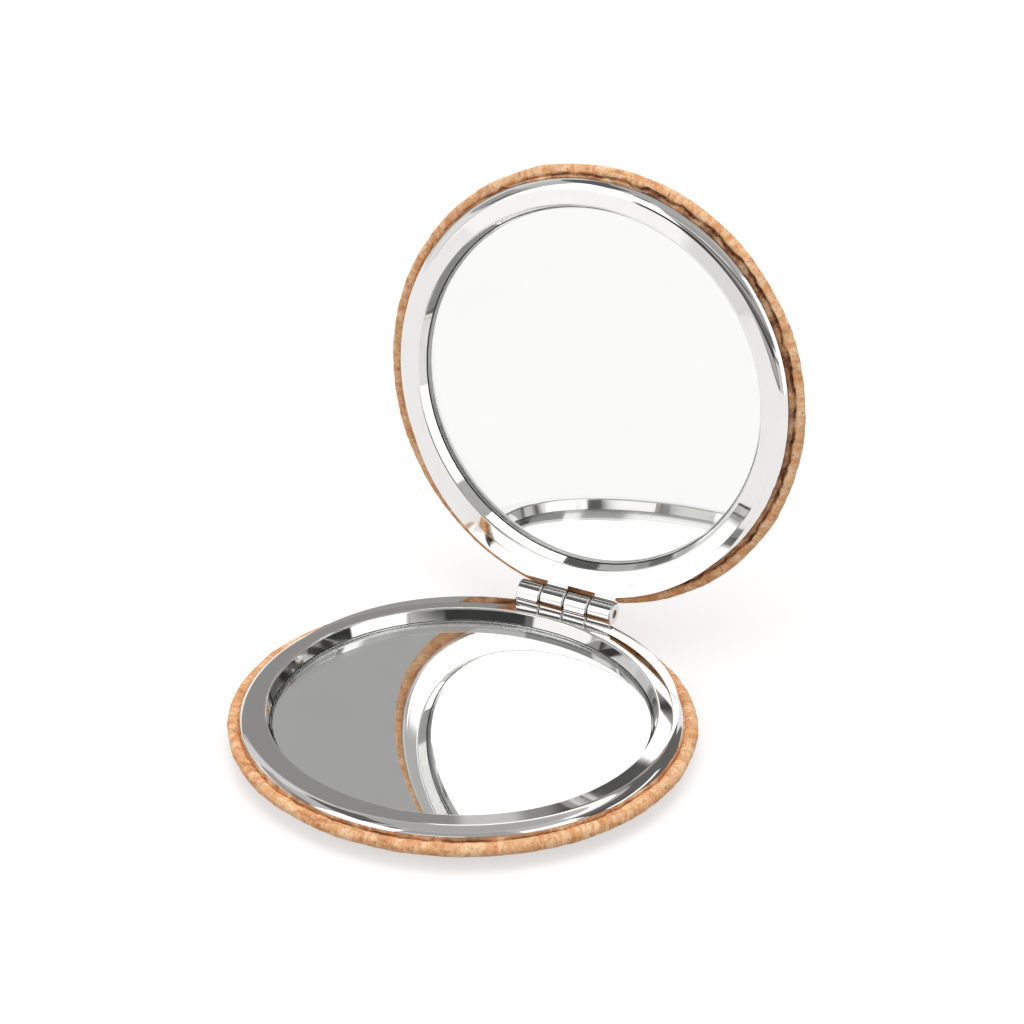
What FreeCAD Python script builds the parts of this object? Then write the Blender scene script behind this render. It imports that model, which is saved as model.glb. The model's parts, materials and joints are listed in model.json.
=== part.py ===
import FreeCAD, Part
import math
import os

# A round folding pocket mirror: two alike dish halves on one pin hinge, cork on their backs.
# Millimetres, +Z up. The origin is the centre of the base's flat resting face, +Y points to the hinge.
# Each half is drawn with its axis on Z. Its land, the rim that meets the other half, falls outwards from a
# crest at z = 0.

# Mirror and the recess that holds it
GLASS_RADIUS = 28.25
GLASS_THICKNESS = 1.1
GLASS_CLEARANCE = 0.1
SILVER_THICKNESS = 0.05
SILVER_MARGIN = 0.2
MIRROR_TAPE_THICKNESS = 0.15
MIRROR_TAPE_MARGIN = 1.0
RECESS_DEPTH = 1.8
WALL_FLARE = 0.65
LIP_ROUND = 0.35

# Plated casting
FLOOR_THICKNESS = 0.6
INNER_WALL = 1.05
OUTER_WALL = 1.0
LAND_THICKNESS = 0.95
LAND_FALL = 8.0
EDGE_WIDTH = 1.7

# Closing magnet, a bar in the hollow under the land
MAGNET_LENGTH = 8.0
MAGNET_WIDTH = 2.0
MAGNET_THICKNESS = 1.0
MAGNET_CLEARANCE = 0.1

# Cork-covered back
COVER_TAPE_THICKNESS = 0.15
COVER_TAPE_MARGIN = 1.2
PLATE_THICKNESS = 0.5
PLATE_CLEARANCE = 0.4
FOAM_THICKNESS = 0.8
FOAM_SETBACK = 2.0
CORK_THICKNESS = 0.8
TURN_IN_THICKNESS = 0.45
TUCK_WIDTH = 1.1
CREASE_ANGLE = 135.0
REST_FACE_SETBACK = 3.8

# Hinge
KNUCKLE_COUNT = 4
KNUCKLE_LENGTH = 4.0
KNUCKLE_GAP = 0.12
KNUCKLE_WALL = 1.1
KNUCKLE_ROUND = 0.25
KNUCKLE_FOOT = 0.6
PIN_RADIUS = 0.7
PIN_CLEARANCE = 0.04
PIN_RECESS = 0.3
LAND_GAP = 0.2
BARREL_TO_CORK = 0.1
BARREL_TO_APRON = 0.7
APRON_SHIFT = 2.3
APRON_SINK = 0.03
TAB_TO_CORK = 0.4
TUCK_TO_TAB = 0.1
OPEN_ANGLE = 97.2

# Heights of the layers under the land
GLASS_TOP = -RECESS_DEPTH
SILVER_TOP = GLASS_TOP - GLASS_THICKNESS
MIRROR_TAPE_TOP = SILVER_TOP - SILVER_THICKNESS
FLOOR_TOP = MIRROR_TAPE_TOP - MIRROR_TAPE_THICKNESS
COVER_TAPE_TOP = FLOOR_TOP - FLOOR_THICKNESS
PLATE_TOP = COVER_TAPE_TOP - COVER_TAPE_THICKNESS
FOAM_TOP = PLATE_TOP - PLATE_THICKNESS
CORK_TOP = FOAM_TOP - FOAM_THICKNESS
BACK = CORK_TOP - CORK_THICKNESS
HALF_THICKNESS = -BACK

# Radii of the casting, outwards: glass pocket, land's inner edge, hollow for the magnet, outer wall
POCKET_RADIUS = GLASS_RADIUS + GLASS_CLEARANCE
OPENING_RADIUS = POCKET_RADIUS + WALL_FLARE
HOLLOW_INNER = POCKET_RADIUS + INNER_WALL
MAGNET_INNER = HOLLOW_INNER + MAGNET_CLEARANCE
MAGNET_CORNER = math.hypot(MAGNET_INNER + MAGNET_WIDTH, MAGNET_LENGTH / 2)
HOLLOW_OUTER = MAGNET_CORNER + MAGNET_CLEARANCE
RIM_RADIUS = HOLLOW_OUTER + OUTER_WALL

# The rim bead is the cork folded round the plate's rounded edge, low enough to clear the hinge barrel
BARREL_RADIUS = PIN_RADIUS + KNUCKLE_WALL
BEAD_RADIUS = CORK_THICKNESS + PLATE_THICKNESS / 2
BEAD_CENTRE_R = RIM_RADIUS + TUCK_WIDTH
CASE_RADIUS = BEAD_CENTRE_R + BEAD_RADIUS
HINGE_Y = CASE_RADIUS
HINGE_Z = LAND_GAP / 2
BARREL_REACH = BARREL_RADIUS + BARREL_TO_CORK + BEAD_RADIUS
BEAD_CENTRE_Z = HINGE_Z - math.sqrt(BARREL_REACH**2 - BEAD_RADIUS**2)
TAB_BOTTOM = BEAD_CENTRE_Z + BEAD_RADIUS + TAB_TO_CORK
TUCK_TOP = TAB_BOTTOM - TUCK_TO_TAB
LAND_EDGE = RIM_RADIUS - EDGE_WIDTH
LAND_MIDDLE = (OPENING_RADIUS + LAND_EDGE) / 2
APRON_EDGE_Y = HINGE_Y - BARREL_RADIUS - BARREL_TO_APRON

# The lip rounds from the flared wall over the crest into the falling land
WALL_LEAN = math.atan2(RECESS_DEPTH, WALL_FLARE)
LAND_ANGLE = math.radians(LAND_FALL)
LIP_CENTRE_R = OPENING_RADIUS + LIP_ROUND * math.tan(WALL_LEAN / 2)
LAND_START_R = LIP_CENTRE_R + LIP_ROUND * math.sin(LAND_ANGLE)
LAND_START_Z = LIP_ROUND * (math.cos(LAND_ANGLE) - 1)
LAND_LOW = LAND_START_Z - (LAND_EDGE - LAND_START_R) * math.tan(LAND_ANGLE)
APRON_TOP = LAND_LOW - APRON_SINK

# The plate is flat under the casting's floor, then slopes up to the bead
PLATE_BEND_R = HOLLOW_INNER + PLATE_CLEARANCE
PLATE_MIDDLE = PLATE_TOP - PLATE_THICKNESS / 2
PLATE_SLOPE = math.atan2(BEAD_CENTRE_Z - PLATE_MIDDLE, BEAD_CENTRE_R - PLATE_BEND_R)
FOAM_EDGE_R = BEAD_CENTRE_R - FOAM_SETBACK

# The back is one arc from the resting face to the bead, tangent to both
REST_FACE_RADIUS = PLATE_BEND_R - REST_FACE_SETBACK
DOME_RUN = BEAD_CENTRE_R - REST_FACE_RADIUS
DOME_RISE = BEAD_CENTRE_Z - BACK
DOME_RADIUS = (DOME_RUN**2 + DOME_RISE**2 - BEAD_RADIUS**2) / (2 * (DOME_RISE - BEAD_RADIUS))
DOME_CENTRE_Z = BACK + DOME_RADIUS
DOME_MEETS_BEAD = math.atan2(BEAD_CENTRE_Z - DOME_CENTRE_Z, DOME_RUN)

# Hinge barrel, end to end
KNUCKLE_PITCH = KNUCKLE_LENGTH + KNUCKLE_GAP
HINGE_LENGTH = KNUCKLE_COUNT * KNUCKLE_PITCH - KNUCKLE_GAP

FULL_TURN = 360.0
X_AXIS = FreeCAD.Vector(1, 0, 0)
Y_AXIS = FreeCAD.Vector(0, 1, 0)
Z_AXIS = FreeCAD.Vector(0, 0, 1)


def point(radius, height):
    """A point of a half's section, on the XZ plane."""
    return FreeCAD.Vector(radius, 0, height)


def on_circle(centre_radius, centre_height, radius, angle):
    """The point of a section circle at an angle in radians from the outward direction."""
    return point(centre_radius + radius * math.cos(angle), centre_height + radius * math.sin(angle))


def line(start, end):
    """A straight edge of a section."""
    return Part.LineSegment(start, end).toShape()


def arc(centre_radius, centre_height, radius, first, last):
    """A round edge of a section, from the first angle to the last one in radians."""
    angles = (first, (first + last) / 2, last)
    return Part.Arc(*[on_circle(centre_radius, centre_height, radius, angle) for angle in angles]).toShape()


def tangent_arc(start, lean, end):
    """The round edge between two points, with its normal at the start leaning outwards from Z."""
    normal = point(math.sin(lean), math.cos(lean))
    chord = end - start
    radius = -chord.dot(chord) / (2 * chord.dot(normal))
    centre = start - normal * radius
    last = math.atan2(end.z - centre.z, end.x - centre.x)
    return arc(centre.x, centre.z, radius, math.pi / 2 - lean, last)


def polyline(points):
    """The straight edges through a run of section points."""
    return [line(start, end) for start, end in zip(points, points[1:])]


def turned(edges):
    """The solid that a closed section makes when it turns once round Z."""
    face = Part.Face(Part.Wire(Part.__sortEdges__(edges)))
    return face.revolve(FreeCAD.Vector(0, 0, 0), Z_AXIS, FULL_TURN)


def disc(radius, top, thickness):
    """A flat round layer under a given height."""
    return Part.makeCylinder(radius, thickness, FreeCAD.Vector(0, 0, top - thickness))


def plate_side(side):
    """The plate's bend, and its tangent point on the rounded edge: side is 1 on top, -1 underneath."""
    offset = side * PLATE_THICKNESS / 2
    bend = point(PLATE_BEND_R - offset * math.tan(PLATE_SLOPE / 2), PLATE_MIDDLE + offset)
    edge = on_circle(BEAD_CENTRE_R, BEAD_CENTRE_Z, offset, PLATE_SLOPE + math.pi / 2)
    return bend, edge


def plate_height(side, radius):
    """The height of the plate's sloped top or underside at a radius."""
    bend, edge = plate_side(side)
    return bend.z + (radius - bend.x) * math.tan(PLATE_SLOPE)


def foam_floor(radius):
    """The height of the cork's inner side at a radius on the domed back."""
    inner_dome = DOME_RADIUS - CORK_THICKNESS
    return DOME_CENTRE_Z - math.sqrt(inner_dome**2 - (radius - REST_FACE_RADIUS)**2)


def inner_dome_arc():
    """The cork's inner side from the resting face up to the foam's edge."""
    inner_dome = DOME_RADIUS - CORK_THICKNESS
    last = math.atan2(foam_floor(FOAM_EDGE_R) - DOME_CENTRE_Z, FOAM_EDGE_R - REST_FACE_RADIUS)
    return arc(REST_FACE_RADIUS, DOME_CENTRE_Z, inner_dome, -math.pi / 2, last)


WALL_BOTTOM = plate_height(1, RIM_RADIUS) + TURN_IN_THICKNESS


def dish():
    """The casting without its hinge: floor, glass pocket, flared wall, land and the hollow under it."""
    lip_first = math.pi / 2 - LAND_ANGLE
    lip_last = math.pi / 2 + WALL_LEAN
    land_edge = point(LAND_EDGE, LAND_LOW)
    rim_top = point(RIM_RADIUS, TUCK_TOP)
    edges = polyline([
        on_circle(LIP_CENTRE_R, -LIP_ROUND, LIP_ROUND, lip_last),
        point(POCKET_RADIUS, GLASS_TOP),
        point(POCKET_RADIUS, FLOOR_TOP),
        point(0, FLOOR_TOP),
        point(0, COVER_TAPE_TOP),
        point(HOLLOW_INNER, COVER_TAPE_TOP),
        point(HOLLOW_INNER, -LAND_THICKNESS),
        point(HOLLOW_OUTER, -LAND_THICKNESS),
        point(HOLLOW_OUTER, WALL_BOTTOM),
        point(RIM_RADIUS, WALL_BOTTOM),
        rim_top,
    ])
    edges.append(tangent_arc(land_edge, LAND_ANGLE, rim_top))
    edges.append(line(land_edge, point(LAND_START_R, LAND_START_Z)))
    edges.append(arc(LIP_CENTRE_R, -LIP_ROUND, LIP_ROUND, lip_first, lip_last))
    return turned(edges)


def apron():
    """The flat crescent towards the hinge: the land's edge moved that way, cut straight by the barrels."""
    plate = disc(LAND_EDGE, APRON_TOP, APRON_TOP + LAND_THICKNESS).translated(Y_AXIS * APRON_SHIFT)
    beyond = FreeCAD.Vector(-LAND_EDGE, APRON_EDGE_Y, -LAND_THICKNESS)
    plate = plate.cut(Part.makeBox(2 * LAND_EDGE, LAND_EDGE, LAND_THICKNESS, beyond))
    return plate.cut(disc(LAND_MIDDLE, 0, LAND_THICKNESS))


def knuckle_foot(start, length):
    """The hollow rounding between a tab and its barrel: a prism along X, tangent to both."""
    axis = FreeCAD.Vector(start, HINGE_Y, HINGE_Z)
    rise = APRON_TOP + KNUCKLE_FOOT - HINGE_Z
    reach = math.sqrt((BARREL_RADIUS + KNUCKLE_FOOT)**2 - rise**2)
    centre = axis + FreeCAD.Vector(0, -reach, rise)
    toward_barrel = math.atan2(-rise, reach)
    angles = (-math.pi / 2, (toward_barrel - math.pi / 2) / 2, toward_barrel)
    hollow = [centre + FreeCAD.Vector(0, math.cos(a), math.sin(a)) * KNUCKLE_FOOT for a in angles]
    inside = [FreeCAD.Vector(start, HINGE_Y, height) for height in (hollow[2].z, APRON_TOP)]
    edges = [Part.Arc(*hollow).toShape()] + polyline([hollow[2], *inside, hollow[0]])
    return Part.Face(Part.Wire(edges)).extrude(X_AXIS * length)


def knuckle(index):
    """One knuckle barrel, counted from the -X end, with the tab and the foot that join it to the land."""
    start = index * KNUCKLE_PITCH - HINGE_LENGTH / 2
    barrel = Part.makeCylinder(BARREL_RADIUS, KNUCKLE_LENGTH, FreeCAD.Vector(start, HINGE_Y, HINGE_Z), X_AXIS)
    rims = [edge for edge in barrel.Edges if isinstance(edge.Curve, Part.Circle)]
    barrel = barrel.makeFillet(KNUCKLE_ROUND, rims)
    root = math.sqrt(LAND_EDGE**2 - (HINGE_LENGTH / 2)**2)
    tab_start = start + KNUCKLE_ROUND
    tab_width = KNUCKLE_LENGTH - 2 * KNUCKLE_ROUND
    tab_corner = FreeCAD.Vector(tab_start, root, TAB_BOTTOM)
    tab = Part.makeBox(tab_width, HINGE_Y - root, APRON_TOP - TAB_BOTTOM, tab_corner)
    return barrel.fuse([tab, knuckle_foot(tab_start, tab_width)])


def frame(bore_radius):
    """A plated casting: the dish with its apron and every second knuckle, bored for the pin."""
    knuckles = [knuckle(index) for index in range(0, KNUCKLE_COUNT, 2)]
    bore_start = FreeCAD.Vector(-HINGE_LENGTH / 2, HINGE_Y, HINGE_Z)
    bore = Part.makeCylinder(bore_radius, HINGE_LENGTH, bore_start, X_AXIS)
    return dish().fuse([apron()] + knuckles).cut(bore).removeSplitter()


def magnet():
    """The closing magnet, under the land opposite the hinge."""
    corner = FreeCAD.Vector(
        -MAGNET_LENGTH / 2,
        -MAGNET_INNER - MAGNET_WIDTH,
        -LAND_THICKNESS - MAGNET_THICKNESS,
    )
    return Part.makeBox(MAGNET_LENGTH, MAGNET_WIDTH, MAGNET_THICKNESS, corner)


def cover_plate():
    """The pressed sheet saucer that carries the cork, with a rounded edge."""
    top_bend, top_edge = plate_side(1)
    under_bend, under_edge = plate_side(-1)
    first = PLATE_SLOPE - math.pi / 2
    edges = polyline([top_edge, top_bend, point(0, PLATE_TOP), point(0, FOAM_TOP), under_bend, under_edge])
    edges.append(arc(BEAD_CENTRE_R, BEAD_CENTRE_Z, PLATE_THICKNESS / 2, first, first + math.pi))
    return turned(edges)


def cover_foam():
    """The soft layer between the plate and the cork, thinning towards the rim."""
    under_bend, under_edge = plate_side(-1)
    edges = polyline([
        point(FOAM_EDGE_R, foam_floor(FOAM_EDGE_R)),
        point(FOAM_EDGE_R, plate_height(-1, FOAM_EDGE_R)),
        under_bend,
        point(0, FOAM_TOP),
        point(0, CORK_TOP),
        point(REST_FACE_RADIUS, CORK_TOP),
    ])
    edges.append(inner_dome_arc())
    return turned(edges)


def cork_skin():
    """The cork sheet: flat back, domed shoulder, bead at the rim, and the edge tucked in by the casting."""
    top_bend, top_edge = plate_side(1)
    under_bend, under_edge = plate_side(-1)
    crease = math.radians(CREASE_ANGLE)
    dome_end = on_circle(REST_FACE_RADIUS, DOME_CENTRE_Z, DOME_RADIUS, DOME_MEETS_BEAD)
    first = PLATE_SLOPE - math.pi / 2
    edges = polyline([
        top_edge,
        point(HOLLOW_OUTER, plate_height(1, HOLLOW_OUTER)),
        point(HOLLOW_OUTER, WALL_BOTTOM),
        point(RIM_RADIUS, WALL_BOTTOM),
        point(RIM_RADIUS, TUCK_TOP),
        on_circle(BEAD_CENTRE_R, BEAD_CENTRE_Z, BEAD_RADIUS, crease),
    ])
    edges.append(arc(BEAD_CENTRE_R, BEAD_CENTRE_Z, BEAD_RADIUS, crease, DOME_MEETS_BEAD))
    edges.append(arc(REST_FACE_RADIUS, DOME_CENTRE_Z, DOME_RADIUS, DOME_MEETS_BEAD, -math.pi / 2))
    edges += polyline([
        point(REST_FACE_RADIUS, BACK),
        point(0, BACK),
        point(0, CORK_TOP),
        point(REST_FACE_RADIUS, CORK_TOP),
    ])
    edges.append(inner_dome_arc())
    edges += polyline([
        point(FOAM_EDGE_R, foam_floor(FOAM_EDGE_R)),
        point(FOAM_EDGE_R, plate_height(-1, FOAM_EDGE_R)),
        under_edge,
    ])
    edges.append(arc(BEAD_CENTRE_R, BEAD_CENTRE_Z, PLATE_THICKNESS / 2, first, first + math.pi))
    return turned(edges)


def half(bore_radius):
    """Every piece of one half, by name, with the land's crest at z = 0."""
    return {
        "frame": frame(bore_radius),
        "mirror_glass": disc(GLASS_RADIUS, GLASS_TOP, GLASS_THICKNESS),
        "mirror_silvering": disc(GLASS_RADIUS - SILVER_MARGIN, SILVER_TOP, SILVER_THICKNESS),
        "mirror_tape": disc(GLASS_RADIUS - MIRROR_TAPE_MARGIN, MIRROR_TAPE_TOP, MIRROR_TAPE_THICKNESS),
        "magnet": magnet(),
        "cover_tape": disc(HOLLOW_INNER - COVER_TAPE_MARGIN, COVER_TAPE_TOP, COVER_TAPE_THICKNESS),
        "cover_plate": cover_plate(),
        "cover_foam": cover_foam(),
        "cork_skin": cork_skin(),
    }


def hinge_pin():
    """The pin through all the knuckles, a little short of the barrel's ends."""
    length = HINGE_LENGTH - 2 * PIN_RECESS
    return Part.makeCylinder(PIN_RADIUS, length, FreeCAD.Vector(-length / 2, HINGE_Y, HINGE_Z), X_AXIS)


def on_base(shape):
    """Stand a half, or the pin, on the base's resting face."""
    return shape.translated(FreeCAD.Vector(0, 0, HALF_THICKNESS))


def on_lid(shape):
    """Turn a half over onto the base, then swing it open on the hinge."""
    lid = shape.copy()
    lid.rotate(FreeCAD.Vector(0, 0, HINGE_Z), Y_AXIS, FULL_TURN / 2)
    lid.rotate(FreeCAD.Vector(0, HINGE_Y, HINGE_Z), X_AXIS, -OPEN_ANGLE)
    return on_base(lid)


os.makedirs("parts", exist_ok=True)
nodes = {"hinge_pin": on_base(hinge_pin())}
for name, piece in half(PIN_RADIUS).items():
    nodes["base_" + name] = on_base(piece)
for name, piece in half(PIN_RADIUS + PIN_CLEARANCE).items():
    nodes["lid_" + name] = on_lid(piece)
for name, piece in nodes.items():
    piece.exportStep("parts/" + name + ".step")
print("case radius", round(CASE_RADIUS, 3), "half thickness", round(HALF_THICKNESS, 3))
print("hinge axis y", round(HINGE_Y, 4), "z", round(HALF_THICKNESS + HINGE_Z, 4))
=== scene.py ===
import json
import math

import bpy
import numpy as np
from mathutils import Matrix, Vector


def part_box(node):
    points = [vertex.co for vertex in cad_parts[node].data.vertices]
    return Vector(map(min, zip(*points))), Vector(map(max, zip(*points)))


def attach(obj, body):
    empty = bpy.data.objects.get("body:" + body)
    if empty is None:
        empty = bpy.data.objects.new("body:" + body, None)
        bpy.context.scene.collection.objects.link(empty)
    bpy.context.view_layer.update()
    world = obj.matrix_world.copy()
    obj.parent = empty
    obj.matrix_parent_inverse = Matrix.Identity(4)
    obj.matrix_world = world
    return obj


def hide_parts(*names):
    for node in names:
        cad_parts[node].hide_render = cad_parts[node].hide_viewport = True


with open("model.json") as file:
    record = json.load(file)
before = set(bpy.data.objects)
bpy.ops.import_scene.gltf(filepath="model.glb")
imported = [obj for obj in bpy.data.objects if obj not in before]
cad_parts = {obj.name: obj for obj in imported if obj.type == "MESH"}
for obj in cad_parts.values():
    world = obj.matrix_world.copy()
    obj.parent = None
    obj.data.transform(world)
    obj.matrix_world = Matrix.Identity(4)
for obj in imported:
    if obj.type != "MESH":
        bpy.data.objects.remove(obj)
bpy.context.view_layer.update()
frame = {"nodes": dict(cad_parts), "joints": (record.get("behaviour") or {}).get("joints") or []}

bl_info = {
    "name": "Cork compact mirror",
    "version": (1, 0, 0),
    "blender": (4, 5, 0),
    "location": "3D View > Sidebar > Compact mirror",
    "description": "Dresses a folding pocket mirror: cork backs, plated frames, mirrors and a studio",
    "category": "Object",
}

# Lengths are metres, as in the frame. MM turns millimetres into them.
MM = 0.001
HALVES = ("base", "lid")

# Places and sizes read from the frame
JOINT = frame["joints"][0]
HINGE_Y, HINGE_Z = JOINT["pos_m"][1:]
OPEN_ANGLE = math.radians(-JOINT["range_deg"][0])
LAND_GAP = 0.2 * MM
LAND_Z = HINGE_Z - LAND_GAP / 2
FRAME_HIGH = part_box("base_frame")[1]
GLASS_LOW, GLASS_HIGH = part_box("base_mirror_glass")
FOAM_LOW, FOAM_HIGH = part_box("base_cover_foam")
PLATE_LOW, PLATE_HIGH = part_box("base_cover_plate")
CORK_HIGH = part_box("base_cork_skin")[1]

# Each half is drawn with its land's crest at z = 0. The cork has a flat resting face and a bead at the rim.
RIM_RADIUS = FRAME_HIGH.x
CORK_THICKNESS = FOAM_LOW.z
FOAM_EDGE = FOAM_HIGH.x
PLATE_EDGE_ROUND = 0.25 * MM
BEAD_CENTRE_R = PLATE_HIGH.x - PLATE_EDGE_ROUND
BEAD_CENTRE_Z = PLATE_HIGH.z - PLATE_EDGE_ROUND - LAND_Z
BEAD_RADIUS = CORK_THICKNESS + PLATE_EDGE_ROUND
TUCK_TOP = CORK_HIGH.z - LAND_Z
BACK = -LAND_Z
REST_FACE_RADIUS = 26.0 * MM

# The plate under the cork is flat, then slopes up to the bead
PLATE_BEND_R = 29.8 * MM
PLATE_MIDDLE = PLATE_LOW.z + PLATE_EDGE_ROUND - LAND_Z
PLATE_SLOPE = math.atan2(BEAD_CENTRE_Z - PLATE_MIDDLE, BEAD_CENTRE_R - PLATE_BEND_R)
PLATE_EDGE_R = BEAD_CENTRE_R - PLATE_EDGE_ROUND * math.sin(PLATE_SLOPE)
PLATE_EDGE_Z = BEAD_CENTRE_Z + PLATE_EDGE_ROUND * math.cos(PLATE_SLOPE)

# The casting: pocket for the glass, flared wall, lip, falling land, rounded rim, hollow under the land
GLASS_CLEARANCE = 0.1 * MM
WALL_FLARE = 0.65 * MM
POCKET_WALL = 1.05 * MM
RIM_WALL = 1.0 * MM
RIM_WIDTH = 1.7 * MM
CORK_GAP = 0.45 * MM
LIP_ROUND = 0.35 * MM
LAND_ANGLE = math.radians(8.0)
POCKET_RADIUS = GLASS_HIGH.x + GLASS_CLEARANCE
OPENING_RADIUS = POCKET_RADIUS + WALL_FLARE
GLASS_TOP = GLASS_HIGH.z - LAND_Z
FLOOR_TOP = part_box("base_mirror_tape")[0].z - LAND_Z
FLOOR_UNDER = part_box("base_cover_tape")[1].z - LAND_Z
LAND_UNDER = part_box("base_magnet")[1].z - LAND_Z
HOLLOW_INNER = POCKET_RADIUS + POCKET_WALL
HOLLOW_OUTER = RIM_RADIUS - RIM_WALL
WALL_BOTTOM = PLATE_EDGE_Z - (PLATE_EDGE_R - RIM_RADIUS) * math.tan(PLATE_SLOPE) + CORK_GAP
LAND_EDGE = RIM_RADIUS - RIM_WIDTH
WALL_LEAN = math.atan2(-GLASS_TOP, OPENING_RADIUS - POCKET_RADIUS)
LIP_CENTRE_R = OPENING_RADIUS + LIP_ROUND * math.tan(WALL_LEAN / 2)
LAND_START_R = LIP_CENTRE_R + LIP_ROUND * math.sin(LAND_ANGLE)
LAND_LOW = LIP_ROUND * (math.cos(LAND_ANGLE) - 1) - (LAND_EDGE - LAND_START_R) * math.tan(LAND_ANGLE)

# The hinge: four knuckles on one pin, every second one on each half, and the flat apron that carries them
BARREL_WALL = 1.1 * MM
KNUCKLE_LENGTH = 4.0 * MM
KNUCKLE_GAP = 0.12 * MM
KNUCKLE_ROUND = 0.25 * MM
KNUCKLE_FOOT = 0.6 * MM
TAB_CLEARANCE = 0.1 * MM
APRON_DROP = 0.03 * MM
APRON_SHIFT = 2.3 * MM
APRON_MARGIN = 0.7 * MM
AXIS_Z = LAND_GAP / 2
PIN_LOW, PIN_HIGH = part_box("hinge_pin")
PIN_RADIUS = (PIN_HIGH.z - PIN_LOW.z) / 2
BARREL_RADIUS = PIN_RADIUS + BARREL_WALL
KNUCKLE_PITCH = KNUCKLE_LENGTH + KNUCKLE_GAP
HINGE_LENGTH = 3 * KNUCKLE_PITCH + KNUCKLE_LENGTH
TAB_BOTTOM = TUCK_TOP + TAB_CLEARANCE
APRON_TOP = LAND_LOW - APRON_DROP
APRON_EDGE_Y = HINGE_Y - BARREL_RADIUS - APRON_MARGIN


def linear(code):
    """An sRGB hex colour as linear red, green and blue."""
    parts = [int(code[i:i + 2], 16) / 255 for i in (1, 3, 5)]
    return tuple(c / 12.92 if c <= 0.04045 else ((c + 0.055) / 1.055)**2.4 for c in parts)


def rgba(colour, level=1.0):
    """A linear colour, dimmed to a level, with full alpha, as a colour socket takes it."""
    return (*(c * level for c in colour), 1.0)


# What the settings of one kind share
COLOUR = {"subtype": "COLOR", "size": 3}
LENGTH = {"unit": "LENGTH", "precision": 5}


class CorkSettings(bpy.types.PropertyGroup):
    """The cork sheet that covers both backs."""
    light: bpy.props.FloatVectorProperty(
        name="Light grain", description="Palest cork cells", default=linear("#FAD3A8"), **COLOUR)
    middle: bpy.props.FloatVectorProperty(
        name="Middle grain", description="Main cork colour", default=linear("#E6AE7C"), **COLOUR)
    blush: bpy.props.FloatVectorProperty(
        name="Blush", description="Pinker slices", default=linear("#E09966"), **COLOUR)
    brown: bpy.props.FloatVectorProperty(
        name="Brown grain", description="Darker growth bands", default=linear("#B87542"), **COLOUR)
    fleck: bpy.props.FloatVectorProperty(
        name="Flecks", description="Dark pores of the bark", default=linear("#7C4827"), **COLOUR)
    # The crease colour is painted shade: it stands in for the shadow in the fold and on the tucked strip.
    crease_shade: bpy.props.FloatVectorProperty(
        name="Crease", description="Glue-dark fold", default=linear("#5A2A14"), **COLOUR)
    lump: bpy.props.FloatProperty(
        name="Lump", description="Slow swell of the bead", default=0.07 * MM, **LENGTH)
    wrinkle: bpy.props.FloatProperty(
        name="Wrinkle", description="Folds across the bead", default=0.035 * MM, **LENGTH)
    grain: bpy.props.FloatProperty(
        name="Grain", description="Fine relief of the cells", default=0.012 * MM, **LENGTH)
    crease: bpy.props.FloatProperty(
        name="Crease depth", description="Depth of the fold inside the bead", default=0.26 * MM, **LENGTH)
    ragged: bpy.props.FloatProperty(
        name="Ragged", description="How far the fold wanders", default=0.16 * MM, **LENGTH)
    thin: bpy.props.FloatProperty(
        name="Thin", description="How much thinner the bead is where the sheet was pulled tight",
        default=0.3 * MM, **LENGTH)


class MetalSettings(bpy.types.PropertyGroup):
    """The plated castings, the mirrors and what lies inside the case."""
    plating: bpy.props.FloatVectorProperty(
        name="Plating", description="Colour of the bright plating", default=linear("#E6E5E3"), **COLOUR)
    silver: bpy.props.FloatVectorProperty(
        name="Silver", description="Colour of the mirror coat", default=linear("#F6F6F5"), **COLOUR)
    steel: bpy.props.FloatVectorProperty(
        name="Steel", description="Colour of the pin", default=linear("#A9AAAC"), **COLOUR)
    tin: bpy.props.FloatVectorProperty(
        name="Tin", description="Colour of the pressed plates", default=linear("#C6C7C8"), **COLOUR)
    nickel: bpy.props.FloatVectorProperty(
        name="Nickel", description="Colour of the magnets", default=linear("#CDC8BE"), **COLOUR)
    padding: bpy.props.FloatVectorProperty(
        name="Padding", description="Foam under the cork", default=linear("#EDEBE6"), **COLOUR)
    tape: bpy.props.FloatVectorProperty(
        name="Tape", description="Colour of the foam tape", default=linear("#D9DBDA"), **COLOUR)
    ground: bpy.props.FloatVectorProperty(
        name="Ground edge", description="Cut edge of the glass", default=linear("#F4F6F5"), **COLOUR)
    edge_arris: bpy.props.FloatProperty(
        name="Arris", description="Ground corner of the glass", default=0.12 * MM, **LENGTH)


class StageSettings(bpy.types.PropertyGroup):
    """The camera's place and lens."""
    azimuth: bpy.props.FloatProperty(
        name="Azimuth", description="Camera's turn round the case", subtype="ANGLE",
        default=math.radians(26.8855))
    elevation: bpy.props.FloatProperty(
        name="Elevation", description="Camera's height angle", subtype="ANGLE",
        default=math.radians(28.3205))
    roll: bpy.props.FloatProperty(
        name="Roll", description="Camera's roll", subtype="ANGLE", default=math.radians(0.8262))
    distance: bpy.props.FloatProperty(
        name="Distance", description="Camera to the base's land", unit="LENGTH", default=493.93 * MM)
    slide: bpy.props.FloatVectorProperty(
        name="Slide", description="Camera's shift right and up", size=2, unit="LENGTH",
        default=(7.3853 * MM, 28.6941 * MM))
    focal: bpy.props.FloatProperty(
        name="Focal length", description="Lens on a 36 mm sensor", default=117.271)


def plug(node, sockets):
    """Give a node's inputs their values, or link them to other nodes' outputs."""
    for name, value in sockets.items():
        if isinstance(value, bpy.types.NodeSocket):
            node.id_data.links.new(value, node.inputs[name])
        else:
            node.inputs[name].default_value = value


def add(tree, kind, sockets=None, **settings):
    """Add a node. Settings are its own properties, and sockets gives its inputs."""
    node = tree.nodes.new(kind)
    for name, value in settings.items():
        setattr(node, name, value)
    plug(node, sockets or {})
    return node


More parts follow.
